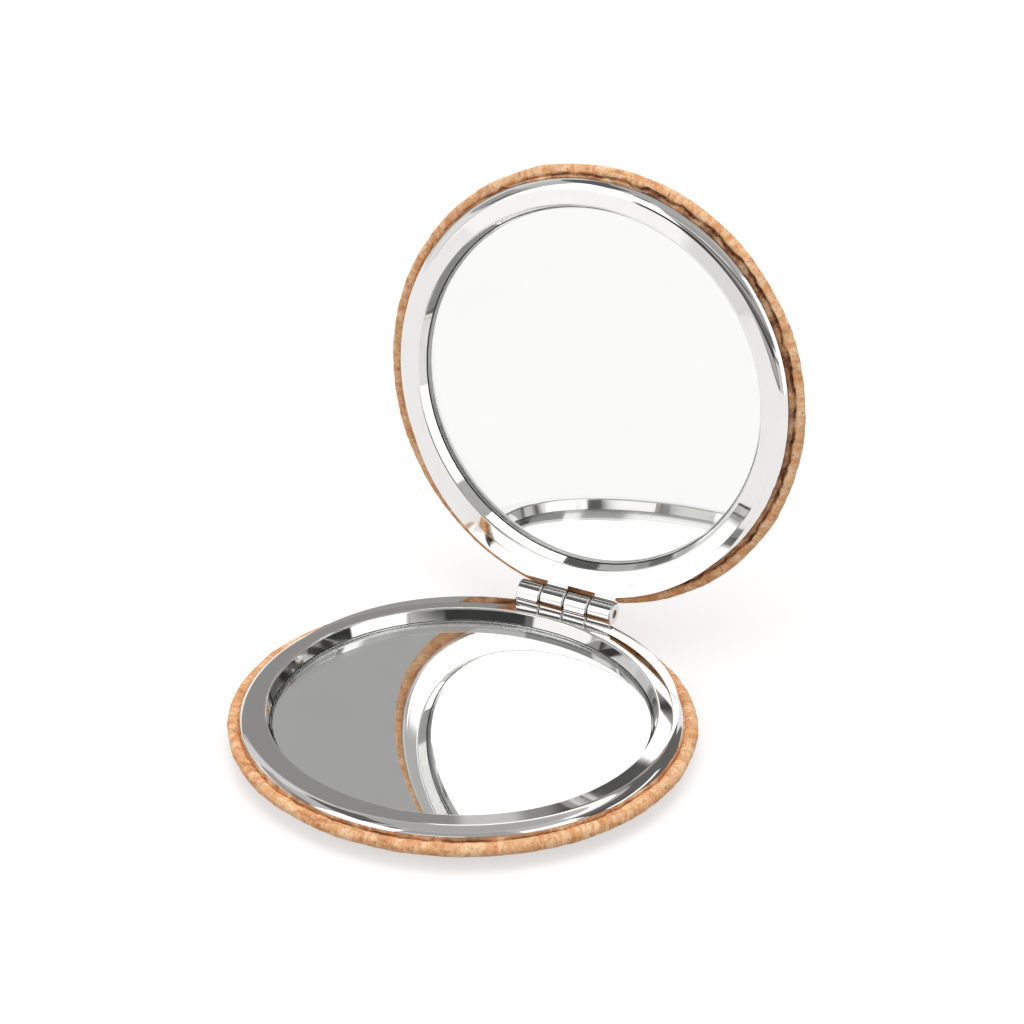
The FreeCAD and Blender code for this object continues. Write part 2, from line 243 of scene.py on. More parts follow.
def new_material(name):
    """An empty node material, its tree, its Principled shader and Object coordinates in millimetres."""
    material = bpy.data.materials.new(name)
    material.use_nodes = True
    tree = material.node_tree
    tree.nodes.clear()
    shader = add(tree, "ShaderNodeBsdfPrincipled")
    add(tree, "ShaderNodeOutputMaterial", {"Surface": shader.outputs["BSDF"]})
    place = add(tree, "ShaderNodeTexCoord")
    scale = (1 / MM,) * 3
    mapping = add(tree, "ShaderNodeMapping", {"Vector": place.outputs["Object"], "Scale": scale})
    return material, tree, shader, mapping.outputs["Vector"]


# Widths of the marks that each finish shows, in millimetres
CASTING_RIPPLE = 7.0
POLISH_HAZE = 3.0
SILVER_HAZE = 9.0
GLASS_SMEAR = (14.0, 5.0, 5.0)
GRINDING_GRIT = 0.15
DRAWN_RING = 0.12
ROLL_LINE = (0.3, 12.0, 12.0)
TIN_BLOOM = 3.0
POWDER_PEEL = 0.25
PADDING_CELL = 0.5
TAPE_CELL = 0.2
CELLS_PER_CLOUD = 12

# Cork slices run long across the bead and end past it, this far from the crease. Bands run along the sheet.
SLICE_SQUEEZE = (1.0, 1.0, 0.22)
SLICE_END = (3.0, 5.5)
BAND_SQUEEZE = (0.4, 1.0, 1.0)

GLASS_IOR = 1.52


def chrome_material(metal):
    """Chrome on die-cast zinc: a bright mirror finish, with the casting's slow ripple and faint haze."""
    material, tree, shader, place = new_material("Chrome plated zinc, polished")
    ripple = add(tree, "ShaderNodeTexNoise", {"Vector": place, "Scale": 1 / CASTING_RIPPLE, "Detail": 1.0})
    haze = add(tree, "ShaderNodeTexNoise", {"Vector": place, "Scale": 1 / POLISH_HAZE, "Detail": 5.0})
    rough = add(tree, "ShaderNodeMapRange", {
        "Value": haze.outputs["Fac"], "From Min": 0.35, "From Max": 0.75, "To Min": 0.025, "To Max": 0.07})
    tint = add(tree, "ShaderNodeMix", {
        0: haze.outputs["Fac"], 6: rgba(metal.plating), 7: rgba(metal.plating, 0.94)}, data_type="RGBA")
    bump = add(tree, "ShaderNodeBump", {
        "Height": ripple.outputs["Fac"], "Strength": 1.0, "Distance": 0.02 * MM})
    plug(shader, {
        "Metallic": 1.0, "Base Color": tint.outputs[2], "Roughness": rough.outputs["Result"],
        "Normal": bump.outputs["Normal"]})
    return material


def silver_material(metal):
    """Silver coat on the back of the glass: a clean mirror with a trace of haze."""
    material, tree, shader, place = new_material("Silver coat, chemically deposited")
    haze = add(tree, "ShaderNodeTexNoise", {"Vector": place, "Scale": 1 / SILVER_HAZE, "Detail": 3.0})
    tint = add(tree, "ShaderNodeMix", {
        0: haze.outputs["Fac"], 6: rgba(metal.silver), 7: rgba(metal.silver, 0.985)}, data_type="RGBA")
    plug(shader, {"Metallic": 1.0, "Base Color": tint.outputs[2], "Roughness": 0.0})
    return material


def glass_material():
    """Float glass: clear and flat, with the faint smears that a hand mirror carries."""
    material, tree, shader, place = new_material("Float glass, cut and arrised")
    smear = add(tree, "ShaderNodeMapping", {"Vector": place, "Scale": [1 / width for width in GLASS_SMEAR]})
    haze = add(tree, "ShaderNodeTexNoise", {"Vector": smear.outputs["Vector"], "Scale": 1.0, "Detail": 4.0})
    tint = add(tree, "ShaderNodeMix", {
        0: haze.outputs["Fac"], 6: rgba(linear("#FEFEFE")), 7: rgba(linear("#F9FAF9"))}, data_type="RGBA")
    plug(shader, {
        "Transmission Weight": 1.0, "IOR": GLASS_IOR, "Base Color": tint.outputs[2], "Roughness": 0.0})
    return material


def ground_edge_material(metal):
    """Glass edge, cut and ground: the wheel leaves it frosted, so it scatters light and looks grey."""
    material, tree, shader, place = new_material("Float glass edge, ground")
    grit = add(tree, "ShaderNodeTexNoise", {"Vector": place, "Scale": 1 / GRINDING_GRIT, "Detail": 3.0})
    tint = add(tree, "ShaderNodeMix", {
        0: grit.outputs["Fac"], 6: rgba(metal.ground), 7: rgba(metal.ground, 0.85)}, data_type="RGBA")
    rough = add(tree, "ShaderNodeMapRange", {"Value": grit.outputs["Fac"], "To Min": 0.25, "To Max": 0.45})
    plug(shader, {
        "Transmission Weight": 1.0, "IOR": GLASS_IOR, "Base Color": tint.outputs[2],
        "Roughness": rough.outputs["Result"]})
    return material


def steel_pin_material(metal):
    """Steel wire, drawn and cut: grey, with fine rings left round it by the draw plate."""
    material, tree, shader, place = new_material("Steel wire, drawn")
    rings = add(tree, "ShaderNodeMapping", {"Vector": place, "Scale": (1 / DRAWN_RING, 0.0, 0.0)})
    ring = add(tree, "ShaderNodeTexNoise", {"Vector": rings.outputs["Vector"], "Scale": 1.0, "Detail": 3.0})
    tint = add(tree, "ShaderNodeMix", {
        0: ring.outputs["Fac"], 6: rgba(metal.steel), 7: rgba(metal.steel, 0.7)}, data_type="RGBA")
    rough = add(tree, "ShaderNodeMapRange", {"Value": ring.outputs["Fac"], "To Min": 0.18, "To Max": 0.36})
    bump = add(tree, "ShaderNodeBump", {
        "Height": ring.outputs["Fac"], "Strength": 0.5, "Distance": 0.01 * MM})
    plug(shader, {
        "Metallic": 1.0, "Base Color": tint.outputs[2], "Roughness": rough.outputs["Result"],
        "Normal": bump.outputs["Normal"]})
    return material


def steel_sheet_material(metal):
    """Tinned steel sheet, pressed: pale grey, with the mill's straight roll lines and a frosted bloom."""
    material, tree, shader, place = new_material("Tinned steel sheet, pressed")
    lines = add(tree, "ShaderNodeMapping", {"Vector": place, "Scale": [1 / width for width in ROLL_LINE]})
    roll = add(tree, "ShaderNodeTexNoise", {"Vector": lines.outputs["Vector"], "Scale": 1.0, "Detail": 4.0})
    bloom = add(tree, "ShaderNodeTexVoronoi", {"Vector": place, "Scale": 1 / TIN_BLOOM})
    tint = add(tree, "ShaderNodeMix", {
        0: bloom.outputs["Distance"], 6: rgba(metal.tin), 7: rgba(metal.tin, 0.8)}, data_type="RGBA")
    rough = add(tree, "ShaderNodeMapRange", {"Value": roll.outputs["Fac"], "To Min": 0.22, "To Max": 0.5})
    bump = add(tree, "ShaderNodeBump", {
        "Height": roll.outputs["Fac"], "Strength": 0.4, "Distance": 0.01 * MM})
    plug(shader, {
        "Metallic": 1.0, "Base Color": tint.outputs[2], "Roughness": rough.outputs["Result"],
        "Normal": bump.outputs["Normal"]})
    return material


def magnet_material(metal):
    """Sintered magnet, nickel plated: warm bright grey over the pressed powder's fine orange peel."""
    material, tree, shader, place = new_material("Sintered magnet, nickel plated")
    peel = add(tree, "ShaderNodeTexNoise", {"Vector": place, "Scale": 1 / POWDER_PEEL, "Detail": 3.0})
    tint = add(tree, "ShaderNodeMix", {
        0: peel.outputs["Fac"], 6: rgba(metal.nickel), 7: rgba(metal.nickel, 0.85)}, data_type="RGBA")
    rough = add(tree, "ShaderNodeMapRange", {"Value": peel.outputs["Fac"], "To Min": 0.15, "To Max": 0.35})
    bump = add(tree, "ShaderNodeBump", {
        "Height": peel.outputs["Fac"], "Strength": 0.5, "Distance": 0.01 * MM})
    plug(shader, {
        "Metallic": 1.0, "Base Color": tint.outputs[2], "Roughness": rough.outputs["Result"],
        "Normal": bump.outputs["Normal"]})
    return material


def foam_material(name, colour, cell):
    """Closed-cell foam, sliced or die cut: matt, with round cells, width in mm, and dark walls."""
    material, tree, shader, place = new_material(name)
    cells = add(tree, "ShaderNodeTexVoronoi", {"Vector": place, "Scale": 1 / cell})
    cloud = add(tree, "ShaderNodeTexNoise", {
        "Vector": place, "Scale": 1 / (CELLS_PER_CLOUD * cell), "Detail": 3.0})
    shade = add(tree, "ShaderNodeMath", {
        0: cells.outputs["Distance"], 1: cloud.outputs["Fac"]}, operation="MULTIPLY")
    tint = add(tree, "ShaderNodeMix", {
        0: shade.outputs[0], 6: rgba(colour), 7: rgba(colour, 0.55)}, data_type="RGBA")
    rough = add(tree, "ShaderNodeMapRange", {"Value": cloud.outputs["Fac"], "To Min": 0.7, "To Max": 0.95})
    bump = add(tree, "ShaderNodeBump", {
        "Height": cells.outputs["Distance"], "Strength": 0.5, "Distance": 0.2 * cell * MM}, invert=True)
    plug(shader, {
        "Base Color": tint.outputs[2], "Roughness": rough.outputs["Result"],
        "Normal": bump.outputs["Normal"]})
    return material


def cork_material(cork):
    """Cork sheet: bark sliced thin and glued down, so it is matt, golden tan and granular, with red slices.

    The rim_place attribute holds a place round the rim and, as Z, the length from the crease, minus on the
    tuck, in millimetres. Slices follow it, so that they cross the bead. The fold attribute darkens the
    crease and the tuck with painted shade.
    """
    material, tree, shader, place = new_material("Cork sheet, sliced and glued")
    rim = add(tree, "ShaderNodeAttribute", attribute_name="rim_place").outputs["Vector"]
    fold = add(tree, "ShaderNodeAttribute", attribute_name="fold").outputs["Fac"]
    from_crease = add(tree, "ShaderNodeSeparateXYZ", {0: rim}).outputs["Z"]
    near_rim = add(tree, "ShaderNodeMapRange", {
        "Value": from_crease, "From Min": SLICE_END[0], "From Max": SLICE_END[1],
        "To Min": 1.0, "To Max": 0.0},
        interpolation_type="SMOOTHSTEP").outputs["Result"]
    across = add(tree, "ShaderNodeMapping", {"Vector": rim, "Scale": SLICE_SQUEEZE}).outputs["Vector"]
    along = add(tree, "ShaderNodeMapping", {"Vector": place, "Scale": BAND_SQUEEZE}).outputs["Vector"]

    # Layers painted one over the other: place, grain in mm, detail, roughness, the noise's low and high
    # end, the least and the most that shows, what limits it, and its colour
    layers = {
        "cells": (place, 2.4, 5.0, 0.6, 0.38, 0.62, 0.0, 1.0, None, cork.light),
        "slices": (across, 0.9, 2.0, 0.6, 0.46, 0.64, 0.0, 0.8, near_rim, cork.blush),
        "bands": (along, 1.5, 4.0, 0.6, 0.54, 0.7, 0.0, 0.7, None, cork.brown),
        "grit": (place, 0.34, 2.0, 0.7, 0.5, 0.72, 0.0, 0.65, None, cork.brown),
        "pale grit": (place, 0.45, 2.0, 0.6, 0.55, 0.74, 0.0, 0.7, None, cork.light),
        "pores": (place, 0.8, 2.0, 0.5, 0.65, 0.77, 0.0, 0.75, None, cork.fleck),
        # Painted shade: the crease colour laid over the fold and the tuck, as far as the fold attribute
        # reaches
        "glue": (place, 0.7, 3.0, 0.7, 0.2, 0.6, 0.5, 1.0, fold, cork.crease_shade),
    }
    noise, share = {}, {}
    colour = rgba(cork.middle)
    for name, (vector, grain, detail, roughness, low, high, least, most, limit, top) in layers.items():
        noise[name] = add(tree, "ShaderNodeTexNoise", {
            "Vector": vector, "Scale": 1 / grain, "Detail": detail, "Roughness": roughness}).outputs["Fac"]
        share[name] = add(tree, "ShaderNodeMapRange", {
            "Value": noise[name], "From Min": low, "From Max": high, "To Min": least, "To Max": most},
            interpolation_type="SMOOTHSTEP").outputs["Result"]
        if limit:
            share[name] = add(tree, "ShaderNodeMath", {
                0: share[name], 1: limit}, operation="MULTIPLY").outputs[0]
        colour = add(tree, "ShaderNodeMix", {
            0: share[name], 6: colour, 7: rgba(top)}, data_type="RGBA").outputs[2]

    sunk = add(tree, "ShaderNodeMath", {0: noise["grit"], 1: share["pores"]}, operation="ADD").outputs[0]
    bump = add(tree, "ShaderNodeBump", {
        "Height": sunk, "Strength": 0.7, "Distance": 0.06 * MM}, invert=True)
    rough = add(tree, "ShaderNodeMapRange", {"Value": noise["grit"], "To Min": 0.55, "To Max": 0.9})
    plug(shader, {
        "Specular IOR Level": 0.3, "Base Color": colour, "Roughness": rough.outputs["Result"],
        "Normal": bump.outputs["Normal"]})
    return material


WAVE_COUNT = 18
WAVE_SPREAD = (0.7, 1.4)
WAVE_LEVEL = 0.6


def waves(points, length, seed):
    """Smooth noise near -1 to 1: a sum of cosine waves of about one length in random directions."""
    random = np.random.RandomState(seed)
    direction = random.normal(size=(WAVE_COUNT, 3))
    direction /= np.linalg.norm(direction, axis=1)[:, None]
    number = 2 * math.pi / (length * random.uniform(*WAVE_SPREAD, WAVE_COUNT))
    phase = random.uniform(0, 2 * math.pi, WAVE_COUNT)
    total = np.cos(points @ (direction * number[:, None]).T + phase).sum(axis=-1)
    return total / math.sqrt(WAVE_COUNT / 2) * WAVE_LEVEL


def place_half(half, points):
    """Points drawn with the land at z = 0, set on the base, or turned over and swung open for the lid."""
    placed = points.copy()
    if half == "lid":
        y = points[..., 1] - HINGE_Y
        z = LAND_GAP / 2 - points[..., 2]
        placed[..., 0] = -points[..., 0]
        placed[..., 1] = HINGE_Y + y * math.cos(OPEN_ANGLE) + z * math.sin(OPEN_ANGLE)
        placed[..., 2] = LAND_GAP / 2 - y * math.sin(OPEN_ANGLE) + z * math.cos(OPEN_ANGLE)
    placed[..., 2] += LAND_Z
    return placed


def sweep(centre_r, centre_z, radius, first, last, count):
    """Points of a section on a circle from the first angle to the last one, in radians."""
    angle = np.linspace(first, last, count)
    return np.stack([centre_r + radius * np.cos(angle), centre_z + radius * np.sin(angle)], axis=-1)


def stretch(start, end, count):
    """Evenly spaced points of a section on a straight line."""
    return np.linspace(np.array(start), np.array(end), count)


def wrap_quads(index):
    """Quads between neighbouring rows of vertex numbers, whose columns wrap round."""
    after = np.roll(index, -1, axis=1)
    return np.stack([index[:-1], after[:-1], after[1:], index[1:]], axis=-1).reshape(-1, 4)


def pole_grid(points):
    """Vertices and faces of a closed grid: columns wrap round, first and last rows shrink to poles."""
    rows, columns = points.shape[:2]
    poles = np.stack([points[0].mean(axis=0), points[-1].mean(axis=0)])
    vertices = np.concatenate([points[1:-1].reshape(-1, 3), poles])
    index = np.arange((rows - 2) * columns).reshape(rows - 2, columns)
    after = np.roll(index, -1, axis=1)
    first = np.stack([np.full(columns, len(vertices) - 2), after[0], index[0]], axis=-1)
    last = np.stack([np.full(columns, len(vertices) - 1), index[-1], after[-1]], axis=-1)
    return vertices, wrap_quads(index).tolist() + first.tolist() + last.tolist()


def ring_grid(points):
    """Vertices and faces of a grid that wraps round both ways."""
    index = np.arange(points.shape[0] * points.shape[1]).reshape(points.shape[:2])
    return points.reshape(-1, 3), wrap_quads(np.concatenate([index, index[:1]])).tolist()


def capped_grid(points):
    """Vertices and faces of a grid whose columns wrap round, with a flat cap on its first and last rows."""
    index = np.arange(points.shape[0] * points.shape[1]).reshape(points.shape[:2])
    return points.reshape(-1, 3), wrap_quads(index).tolist() + [index[0][::-1].tolist(), index[-1].tolist()]


def grid_mesh(name, *grids):
    """A smooth mesh of one or more grids."""
    first = np.cumsum([0] + [len(vertices) for vertices, faces in grids])
    vertices = np.concatenate([vertices for vertices, faces in grids])
    faces = [[start + i for i in face] for start, (_, faces) in zip(first, grids) for face in faces]
    mesh = bpy.data.meshes.new(name)
    mesh.from_pydata(vertices.tolist(), [], faces)
    mesh.polygons.foreach_set("use_smooth", np.ones(len(mesh.polygons), bool))
    mesh.update()
    return mesh


def add_attribute(mesh, name, kind, grid):
    """Store a value for each grid point, in the order that pole_grid gives its vertices."""
    inner = grid[1:-1].reshape(-1, *grid.shape[2:])
    values = np.concatenate([inner, grid[:1, 0], grid[-1:, 0]]).astype(np.float32)
    key = "vector" if kind == "FLOAT_VECTOR" else "value"
    mesh.attributes.new(name, kind, "POINT").data.foreach_set(key, values.ravel())


def new_piece(name, mesh, material, body, slot, *nodes):
    """Show a mesh as a piece of the object: it rides on a body and stands for the nodes."""
    piece = bpy.data.objects.new(name, mesh)
    bpy.context.scene.collection.objects.link(piece)
    mesh.materials.append(material)
    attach(piece, body)
    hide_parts(*nodes)


def finish_nodes(material, *names):
    """Give frame nodes their finish."""
    for name in names:
        frame["nodes"][name].material_slots[0].material = material


CORK_COLUMNS = 1160

# How the fold runs round each half: its crease's place on the bead's arc, how far and towards which side
# that swings, how often in a turn, and the middle and swing of the groove's depth and of its painted shade.
# The lid's tucked strip is wide and darkest with painted shade on one side and narrow opposite. The base's
# is soft, and widest towards the front and the hinge.
FOLD_MIDDLE = {"base": math.radians(150.0), "lid": math.radians(136.0)}
FOLD_SWING = {"base": math.radians(12.0), "lid": math.radians(34.0)}
FOLD_TURN = {"base": math.radians(-63.0), "lid": math.radians(205.0)}
FOLD_REPEAT = {"base": 2, "lid": 1}
FOLD_DEPTH_AND_SHADE = {"base": (0.35, 0.3), "lid": (0.6, 0.5)}
# Strength of the painted shade on the tucked strip
TUCK_SHADE = 0.7

# The side where the sheet was pulled tight, so the bead is thinner, and the length over which that starts
TIGHT_TURN = {"base": math.radians(175.0), "lid": math.radians(-35.0)}
TIGHT_START = 1.0 * MM

# Wave lengths of the sheet's unevenness. Wrinkles are squeezed, so that they run long across the bead.
LUMP_LENGTH = 9.0 * MM
WRINKLE_LENGTH = 1.6 * MM
WRINKLE_SQUEEZE = 0.2
GRAIN_LENGTH = 0.9 * MM
DEPTH_LENGTH = 4.0 * MM
WANDER_LENGTH = 4.0 * MM
RAGGED_LENGTH = 1.5 * MM
# The painted shade's strength changes over this length
SHADE_PATCH_LENGTH = 3.0 * MM

# Half widths of the groove at the crease, of the painted shade beside it and of the stretch that wanders
# with it
GROOVE_WIDTH = 0.2 * MM
SHADE_WIDTH = 0.3 * MM
WANDER_WIDTH = 0.5 * MM

# How far the groove's depth varies, how much finer wander is added, how dark the painted shade in the
# groove is, and the middle and swing of the painted shade's uneven strength
DEPTH_SHARE = 0.5
RAGGED_SHARE = 0.7
GROOVE_SHADE = 0.5
SHADE_LEVEL = 0.85
SHADE_SWING = 0.45

# Where the unevenness fades: towards the resting face, and to a share of itself at the hinge
REST_FADE = 0.5 * MM
HINGE_FADE = math.radians(24.0)
HINGE_SHARE = 0.25

# The tucked strip's gap to the frame's wall, and its cut corner
STRIP_GAP = 0.01 * MM
STRIP_CORNER = 0.12 * MM


def cork_section(crease_angle):
    """The closed section of the cork sheet for each column, as rows by columns by radius and height.

    It runs from the back's centre over a flat face, a dome arc that meets the bead, the bead's arc to the
    crease, the tucked strip up the frame's wall, and back along the plate and the padding to the centre.
    Returns it with the length along it from the crease, plus towards the back, and the count of outer rows.
    """
    ones = np.ones_like(crease_angle)

    def spot(radius, height):
        return np.stack([radius * ones, height * ones], axis=-1)

    run = BEAD_CENTRE_R - REST_FACE_RADIUS
    rise = BEAD_CENTRE_Z - BACK
    dome = (run**2 + rise**2 - BEAD_RADIUS**2) / (2 * (rise - BEAD_RADIUS))
    dome_z = BACK + dome
    meet = math.atan2(BEAD_CENTRE_Z - dome_z, run)
    inner = dome - CORK_THICKNESS
    inner_run = FOAM_EDGE - REST_FACE_RADIUS
    inner_end = math.atan2(-math.sqrt(inner**2 - inner_run**2), inner_run)
    crease = spot(
        BEAD_CENTRE_R + BEAD_RADIUS * np.cos(crease_angle),
        BEAD_CENTRE_Z + BEAD_RADIUS * np.sin(crease_angle))
    wall_r = RIM_RADIUS + STRIP_GAP
    strip_top = spot(wall_r + STRIP_CORNER, TUCK_TOP)
    strip_wall = spot(wall_r, TUCK_TOP - STRIP_CORNER)
    turn_in = spot(wall_r, PLATE_EDGE_Z - (PLATE_EDGE_R - wall_r) * math.tan(PLATE_SLOPE))
    pieces = [
        stretch(spot(0, BACK), spot(REST_FACE_RADIUS, BACK), 8),
        sweep(REST_FACE_RADIUS, dome_z, dome, -math.pi / 2 * ones, meet * ones, 14)[1:],
        sweep(BEAD_CENTRE_R, BEAD_CENTRE_Z, BEAD_RADIUS, meet * ones, crease_angle, 34)[1:],
        stretch(crease, strip_top, 10)[1:],
        stretch(strip_top, strip_wall, 3)[1:],
        stretch(strip_wall, turn_in, 3)[1:],
        stretch(turn_in, spot(PLATE_EDGE_R, PLATE_EDGE_Z), 3)[1:],
        sweep(BEAD_CENTRE_R, BEAD_CENTRE_Z, PLATE_EDGE_ROUND,
              (PLATE_SLOPE + math.pi / 2) * ones, (PLATE_SLOPE - math.pi / 2) * ones, 6)[1:],
        sweep(REST_FACE_RADIUS, dome_z, inner, inner_end * ones, -math.pi / 2 * ones, 6),
        stretch(spot(REST_FACE_RADIUS, BACK + CORK_THICKNESS), spot(0, BACK + CORK_THICKNESS), 4)[1:],
    ]
    section = np.concatenate(pieces)
    step = np.linalg.norm(np.diff(section, axis=0), axis=2)
    length = np.concatenate([np.zeros((1, len(ones))), np.cumsum(step, axis=0)])
    crease_row = sum(len(piece) for piece in pieces[:3]) - 1
    outer_rows = sum(len(piece) for piece in pieces[:5])
    return section, length[crease_row] - length, outer_rows


def cork_surface(half, cork):
    """The cork skin as a grid: the section turned round the axis, moved along its normal.

    A point is the section's radius and height at an angle. The crease's place on the bead swings as a
    cosine round the rim. The move is slow lumps, wrinkles that are short round the rim and long across it,
    fine grain, a groove at the crease and the pull on the tight side, all summed. The crease also wanders
    in radius. All of it fades at the hinge, on the resting face and on the hidden side.
    """
    angle = np.linspace(0, 2 * math.pi, CORK_COLUMNS, endpoint=False)
    swing = np.cos(FOLD_REPEAT[half] * (angle - FOLD_TURN[half]))
    # One level round the rim sets both the groove's depth and its painted shade
    depth_and_shade_middle, depth_and_shade_swing = FOLD_DEPTH_AND_SHADE[half]
    depth_and_shade = depth_and_shade_middle + depth_and_shade_swing * swing
    section, length, outer_rows = cork_section(FOLD_MIDDLE[half] - FOLD_SWING[half] * swing)
    tangent = np.gradient(section, axis=0)
    tangent /= np.linalg.norm(tangent, axis=2)[..., None]
    normal = np.stack([tangent[..., 1], -tangent[..., 0]], axis=2)
    outer = (np.arange(len(section)) < outer_rows).astype(float)[:, None]
    resting = np.clip((section[..., 1] - BACK) / REST_FADE, 0, 1)
    from_hinge = np.abs((angle - math.pi / 2 + math.pi) % (2 * math.pi) - math.pi)
    free = np.clip((from_hinge - HINGE_FADE / 2) / HINGE_FADE, 0, 1)
    fade = outer * resting * (HINGE_SHARE + (1 - HINGE_SHARE) * free)

    ring = np.stack([np.cos(angle), np.sin(angle), np.zeros(CORK_COLUMNS)], axis=1) * BEAD_CENTRE_R
    rim_place = np.repeat(ring[None], len(section), axis=0)
    rim_place[..., 2] = length
    seed = 10 * HALVES.index(half)
    lump = waves(rim_place, LUMP_LENGTH, seed + 1) * cork.lump
    squeezed = rim_place * np.array([1, 1, WRINKLE_SQUEEZE])
    wrinkle = waves(squeezed, WRINKLE_LENGTH, seed + 2) * cork.wrinkle
    grain = waves(rim_place, GRAIN_LENGTH, seed + 3) * cork.grain
    depth = cork.crease * depth_and_shade * (1 + DEPTH_SHARE * waves(rim_place, DEPTH_LENGTH, seed + 4))
    groove = np.exp(-(length / GROOVE_WIDTH)**2)
    tight = (1 + np.cos(angle - TIGHT_TURN[half])) / 2
    pull = cork.thin * tight * np.clip(length / TIGHT_START, 0, 1)
    move = (lump + wrinkle + grain - depth * groove - pull) * fade

    near_crease = np.exp(-(length / WANDER_WIDTH)**2) * outer
    slow = waves(ring, WANDER_LENGTH, seed + 5)
    wander = (slow + RAGGED_SHARE * waves(ring, RAGGED_LENGTH, seed + 6)) * cork.ragged * free
    radius = section[..., 0] + normal[..., 0] * move + near_crease * wander
    height = section[..., 1] + normal[..., 1] * move
    radius[[0, -1]] = 0
    points = np.stack([radius * np.cos(angle), radius * np.sin(angle), height], axis=2)
    # Painted shade: full over the tuck, fading beside the crease, stronger in the groove, of uneven
    # strength
    tuck = TUCK_SHADE * np.where(length < 0, 1, np.exp(-(length / SHADE_WIDTH)**2))
    uneven_shade = SHADE_LEVEL + SHADE_SWING * waves(rim_place, SHADE_PATCH_LENGTH, seed + 7)
    fold = np.clip((tuck + GROOVE_SHADE * groove) * depth_and_shade * uneven_shade, 0, 1) * outer
    return points, rim_place / MM, fold


class COMPACT_OT_cork_skins(bpy.types.Operator):
    """Wrap both backs in cork, with its bead, crease and tucked edge"""
    bl_idname = "compact.cork_skins"
    bl_label = "Cork skins"

    def execute(self, context):
        cork = context.scene.compact_cork
        material = cork_material(cork)
        for half in HALVES:
            points, rim_place, fold = cork_surface(half, cork)
            mesh = grid_mesh(half + "_cork_wrap", pole_grid(place_half(half, points)))
            add_attribute(mesh, "rim_place", "FLOAT_VECTOR", rim_place)
            # fold carries the painted shade of the crease and the tuck
            add_attribute(mesh, "fold", "FLOAT", fold)
            new_piece(half + "_cork_wrap", mesh, material, half, "cork", half + "_cork_skin")
        return {"FINISHED"}


GLASS_COLUMNS = 240
GLASS_OVERLAP = 0.01 * MM
EDGE_BANDS = 3


def glass_surface(arris):
    """A flat round pane with ground corners: a rectangle section with two chamfers, turned round the axis.

    It reaches a hair into the silver coat, so that no air lies between them.
    """
    radius = GLASS_HIGH.x
    bottom = GLASS_LOW.z - LAND_Z - GLASS_OVERLAP
    section = np.array([
        (0, bottom),
        (radius - arris, bottom),
        (radius, bottom + arris),
        (radius, GLASS_TOP - arris),
        (radius - arris, GLASS_TOP),
        (0, GLASS_TOP),
    ])
    angle = np.linspace(0, 2 * math.pi, GLASS_COLUMNS, endpoint=False)
    return np.stack([
        section[:, :1] * np.cos(angle),
        section[:, :1] * np.sin(angle),
        np.broadcast_to(section[:, 1:], (len(section), GLASS_COLUMNS)),
    ], axis=2)


class COMPACT_OT_mirrors(bpy.types.Operator):
    """Set a silvered glass in each half"""
    bl_idname = "compact.mirrors"
    bl_label = "Mirrors"

    def execute(self, context):
        metal = context.scene.compact_metal
        glass = glass_material()
        edge = ground_edge_material(metal)
        silver = silver_material(metal)
        for half in HALVES:
            points = place_half(half, glass_surface(metal.edge_arris))
            mesh = grid_mesh(half + "_glass_pane", pole_grid(points))
            mesh.polygons.foreach_set("use_smooth", np.zeros(len(mesh.polygons), bool))
            new_piece(half + "_glass_pane", mesh, glass, half, "mirror_glass", half + "_mirror_glass")
            mesh.materials.append(edge)
            is_edge = np.arange(len(mesh.polygons)) < EDGE_BANDS * GLASS_COLUMNS
            mesh.polygons.foreach_set("material_index", is_edge.astype(np.int32))
            finish_nodes(silver, half + "_mirror_silvering")
        return {"FINISHED"}


DISH_COLUMNS = 960
BARREL_COLUMNS = 144
APRON_STEPS = 180
TAB_PROUD = 0.004 * MM
SUPPORT = np.array([[0.03], [0.5], [0.97]])


def between(start, end):
    """Points inside a straight stretch, two of them close to its ends to keep its shading flat."""
    return np.array(start) + SUPPORT * (np.array(end) - np.array(start))


def joined(*stretches):
    """Stretches of a section in a row, with points inside each straight run between them."""
    runs = [np.atleast_2d(np.array(stretch_points, float)) for stretch_points in stretches]
    filled = [runs[0]]
    for before, run in zip(runs, runs[1:]):
        filled += [between(before[-1], run[0]), run]
    return np.concatenate(filled)


def dish_surface():
    """The casting without its hinge: one closed section turned round the axis.

    It runs from the floor's underside through the hollow, up the outer wall, over the rounded rim, the
    falling land and the lip, and down the flared wall and the pocket to the floor's top. The rim's arc
    leaves the land at its slope and ends on the outer wall's top.
    """
    run = RIM_RADIUS - LAND_EDGE
    fall = LAND_LOW - TUCK_TOP
    rim = (run**2 + fall**2) / (2 * (fall * math.cos(LAND_ANGLE) - run * math.sin(LAND_ANGLE)))
    rim_r = LAND_EDGE - rim * math.sin(LAND_ANGLE)
    rim_z = LAND_LOW - rim * math.cos(LAND_ANGLE)
    rim_end = math.atan2(TUCK_TOP - rim_z, RIM_RADIUS - rim_r)
    upright = math.pi / 2
    section = joined(
        (0, FLOOR_UNDER),
        (HOLLOW_INNER, FLOOR_UNDER),
        (HOLLOW_INNER, LAND_UNDER),
        (HOLLOW_OUTER, LAND_UNDER),
        (HOLLOW_OUTER, WALL_BOTTOM),
        (RIM_RADIUS, WALL_BOTTOM),
        sweep(rim_r, rim_z, rim, rim_end, upright - LAND_ANGLE, 30),
        sweep(LIP_CENTRE_R, -LIP_ROUND, LIP_ROUND, upright - LAND_ANGLE, upright + WALL_LEAN, 20),
        (POCKET_RADIUS, GLASS_TOP),
        (POCKET_RADIUS, FLOOR_TOP),
        (0, FLOOR_TOP),
    )
    angle = np.linspace(0, 2 * math.pi, DISH_COLUMNS, endpoint=False)
    height = np.broadcast_to(section[:, 1:], (len(section), DISH_COLUMNS))
    return np.stack([section[:, :1] * np.cos(angle), section[:, :1] * np.sin(angle), height], axis=2)


